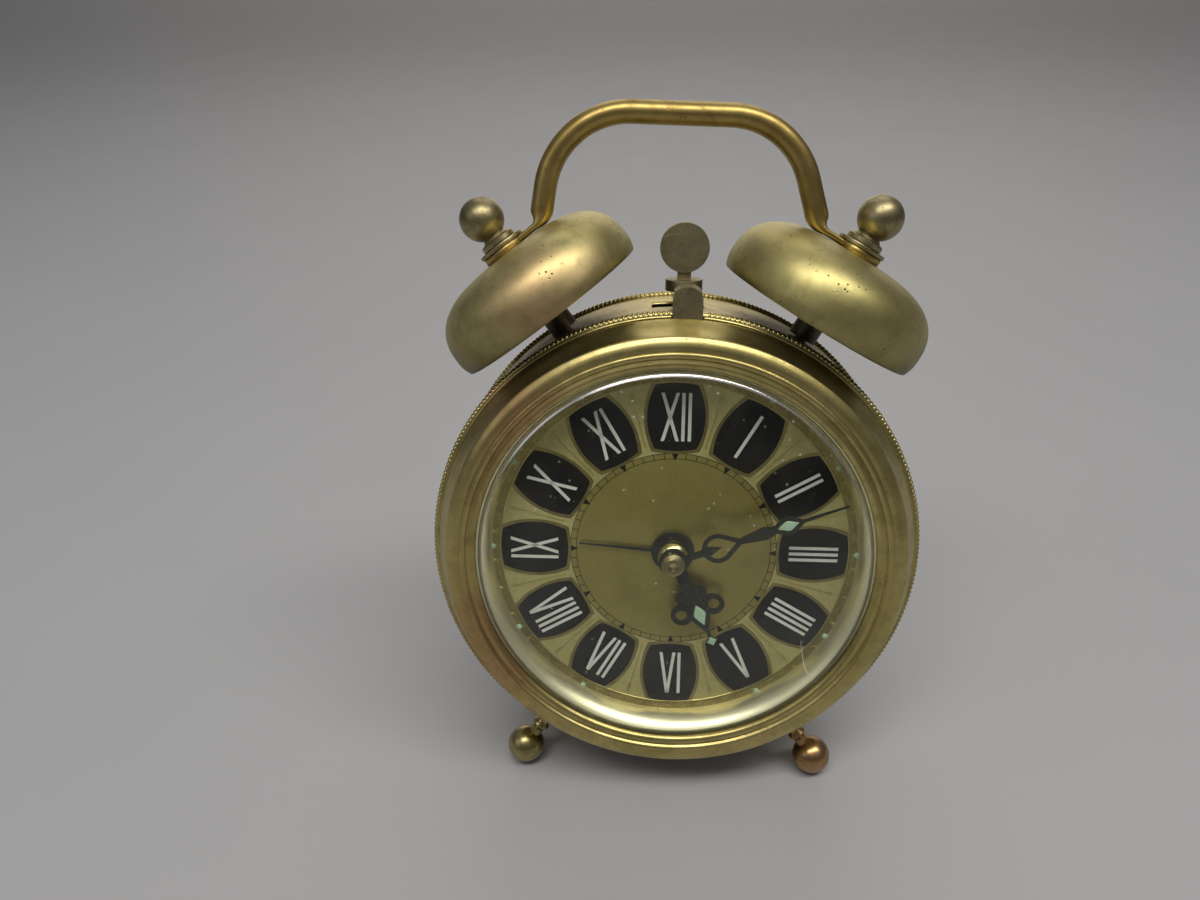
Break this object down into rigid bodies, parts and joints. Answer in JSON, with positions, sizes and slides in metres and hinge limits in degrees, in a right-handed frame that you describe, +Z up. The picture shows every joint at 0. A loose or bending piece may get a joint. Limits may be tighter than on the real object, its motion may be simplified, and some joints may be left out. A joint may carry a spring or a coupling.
{
  "type": "alarm clock",
  "caption": "Small mechanical twin-bell alarm clock in aged brass: round drum case on ball feet, domed crystal, bail handle over two cup bells and a disc hammer.",
  "frame": {"origin": "middle of the clock's overall box, on the surface that it stands on", "axes": "+Z up, -Y towards the viewer of the dial, +X to the viewer's right; the clock leans back on its two ball feet and the rear rim of its case"},
  "size_m": [0.072, 0.043, 0.0995],
  "materials": {
    "case_brass": "aged polished brass with olive tarnish",
    "bell_brass": "satin aged brass with fine pits",
    "handle_brass": "worn brass wire",
    "fitting_brass": "dull aged brass",
    "bright_brass": "polished brass",
    "tarnished_brass": "dark tarnished brass",
    "movement_brass": "satin movement brass",
    "steel": "satin steel",
    "dark_steel": "blackened steel",
    "spring_steel": "blued spring steel",
    "hand_black": "black lacquer",
    "dial_gold": "green-gold satin dial",
    "crystal_glass": "clear domed crystal"
  },
  "bodies": {
    "case": {"case_drum": "case_brass", "bezel": "case_brass", "crystal": "crystal_glass", "reflector_ring": "bright_brass", "dial": "dial_gold", "back_cover": "case_brass", "cover_screws": "steel", "foot_left": "bright_brass", "foot_right": "bright_brass", "bell_left": "bell_brass", "bell_right": "bell_brass", "bell_post_left": "dark_steel", "bell_post_right": "dark_steel", "finial_left": "fitting_brass", "finial_right": "fitting_brass", "bell_washers": "fitting_brass", "handle": "handle_brass", "hammer_arbor": "steel", "stop_bracket": "steel", "stop_spring": "spring_steel", "front_plate": "movement_brass", "back_plate": "movement_brass", "pillars": "steel", "balance_cock": "movement_brass", "hairspring": "spring_steel", "time_mainspring": "spring_steel", "alarm_mainspring": "spring_steel"},
    "minute": {"centre_arbor": "movement_brass", "minute_hand": "hand_black", "hand_nut": "fitting_brass", "set_knob": "fitting_brass"},
    "hour": {"hour_wheel": "movement_brass", "hour_hand": "hand_black", "hour_bush": "bright_brass"},
    "motion": {"minute_wheel": "movement_brass"},
    "third": {"third_wheel": "movement_brass"},
    "fourth": {"fourth_wheel": "movement_brass"},
    "escape": {"escape_wheel": "movement_brass"},
    "great": {"great_wheel": "movement_brass"},
    "time_winding": {"time_arbor": "steel", "time_key": "fitting_brass"},
    "alarm_winding": {"alarm_arbor": "steel", "alarm_key": "fitting_brass"},
    "alarm_great": {"alarm_great_wheel": "movement_brass"},
    "alarm_escape": {"alarm_escape_wheel": "movement_brass"},
    "alarm_setting": {"alarm_set_arbor": "steel", "alarm_set_knob": "fitting_brass"},
    "alarm_pointer": {"alarm_wheel": "movement_brass", "alarm_hand": "hand_black"},
    "hammer": {"hammer": "tarnished_brass"},
    "stop": {"stop_button": "tarnished_brass"},
    "pallet": {"pallet_lever": "steel"},
    "balance": {"balance_wheel": "movement_brass"},
    "regulator": {"regulator_lever": "steel"},
    "time_click": {"time_click": "steel"},
    "alarm_click": {"alarm_click": "steel"}
  },
  "joints": [
    {"name": "minute_turn", "type": "hinge", "parent": "case", "child": "minute", "pos_m": [0, -0.00405, 0.03773], "axis": [0, -0.9806, 0.1961], "continuous": true},
    {"name": "hour_turn", "type": "hinge", "parent": "case", "child": "hour", "pos_m": [0, -0.00798, 0.03851], "axis": [0, -0.9806, 0.1961], "continuous": true},
    {"name": "motion_turn", "type": "hinge", "parent": "case", "child": "motion", "pos_m": [0, -0.00888, 0.0289], "axis": [0, -0.9806, 0.1961], "continuous": true},
    {"name": "third_turn", "type": "hinge", "parent": "case", "child": "third", "pos_m": [-0.00874, -0.00005, 0.04755], "axis": [0, -0.9806, 0.1961], "continuous": true},
    {"name": "fourth_turn", "type": "hinge", "parent": "case", "child": "fourth", "pos_m": [-0.00195, 0.00324, 0.05381], "axis": [0, -0.9806, 0.1961], "continuous": true},
    {"name": "escape_turn", "type": "hinge", "parent": "case", "child": "escape", "pos_m": [-0.00947, 0.00606, 0.05768], "axis": [0, -0.9806, 0.1961], "continuous": true},
    {"name": "great_turn", "type": "hinge", "parent": "case", "child": "great", "pos_m": [-0.014, 0.00254, 0.03093], "axis": [0, -0.9806, 0.1961], "continuous": true},
    {"name": "time_winding_turn", "type": "hinge", "parent": "case", "child": "time_winding", "pos_m": [-0.014, 0.00666, 0.0301], "axis": [0, -0.9806, 0.1961], "continuous": true},
    {"name": "alarm_winding_turn", "type": "hinge", "parent": "case", "child": "alarm_winding", "pos_m": [0.01623, 0.00643, 0.02894], "axis": [0, -0.9806, 0.1961], "continuous": true},
    {"name": "alarm_great_turn", "type": "hinge", "parent": "case", "child": "alarm_great", "pos_m": [0.01623, 0.00231, 0.02977], "axis": [0, -0.9806, 0.1961], "continuous": true},
    {"name": "alarm_escape_turn", "type": "hinge", "parent": "case", "child": "alarm_escape", "pos_m": [0.01397, 0.00306, 0.04268], "axis": [0, -0.9806, 0.1961], "continuous": true},
    {"name": "alarm_setting_turn", "type": "hinge", "parent": "case", "child": "alarm_setting", "pos_m": [0.0068, 0.01002, 0.04692], "axis": [0, -0.9806, 0.1961], "continuous": true},
    {"name": "alarm_pointer_turn", "type": "hinge", "parent": "case", "child": "alarm_pointer", "pos_m": [0, -0.00896, 0.03871], "axis": [0, -0.9806, 0.1961], "continuous": true},
    {"name": "hammer_swing", "type": "hinge", "parent": "case", "child": "hammer", "pos_m": [0.01286, 0.00135, 0.04944], "axis": [0, -0.9806, 0.1961], "range_deg": [-4.2, 5.6]},
    {"name": "stop_press", "type": "slide", "parent": "case", "child": "stop", "axis": [0, 0.1961, 0.9806], "range_m": [-0.0014, 0], "stiffness_N_per_m": 250, "springref_m": 0.0004, "deforming": ["stop_spring"]},
    {"name": "pallet_rock", "type": "hinge", "parent": "case", "child": "pallet", "pos_m": [-0.01548, 0.00563, 0.05553], "axis": [0, -0.9806, 0.1961], "range_deg": [-4, 4]},
    {"name": "balance_swing", "type": "hinge", "parent": "case", "child": "balance", "pos_m": [-0.01938, 0.00332, 0.0491], "axis": [0, -0.9806, 0.1961], "range_deg": [-150, 150], "stiffness_Nm_per_rad": 0.000008},
    {"name": "regulator_swing", "type": "hinge", "parent": "case", "child": "regulator", "pos_m": [-0.01938, 0.01018, 0.04773], "axis": [0, -0.9806, 0.1961], "range_deg": [-20, 20]},
    {"name": "time_click_lift", "type": "hinge", "parent": "case", "child": "time_click", "pos_m": [-0.01626, 0.00397, 0.02431], "axis": [0, -0.9806, 0.1961], "range_deg": [-8, 0]},
    {"name": "alarm_click_lift", "type": "hinge", "parent": "case", "child": "alarm_click", "pos_m": [0.01848, 0.00374, 0.02316], "axis": [0, -0.9806, 0.1961], "range_deg": [-8, 0]}
  ],
  "couplings": [
    {"joint": "hour_turn", "follows": "minute_turn", "ratio": 0.083333},
    {"joint": "motion_turn", "follows": "minute_turn", "ratio": -0.33333},
    {"joint": "third_turn", "follows": "minute_turn", "ratio": -7.5},
    {"joint": "fourth_turn", "follows": "minute_turn", "ratio": 52.5},
    {"joint": "escape_turn", "follows": "minute_turn", "ratio": -354.38},
    {"joint": "great_turn", "follows": "minute_turn", "ratio": -0.2},
    {"joint": "alarm_escape_turn", "follows": "alarm_great_turn", "ratio": -5.5},
    {"joint": "alarm_pointer_turn", "follows": "alarm_setting_turn", "ratio": -0.41667}
  ]
}
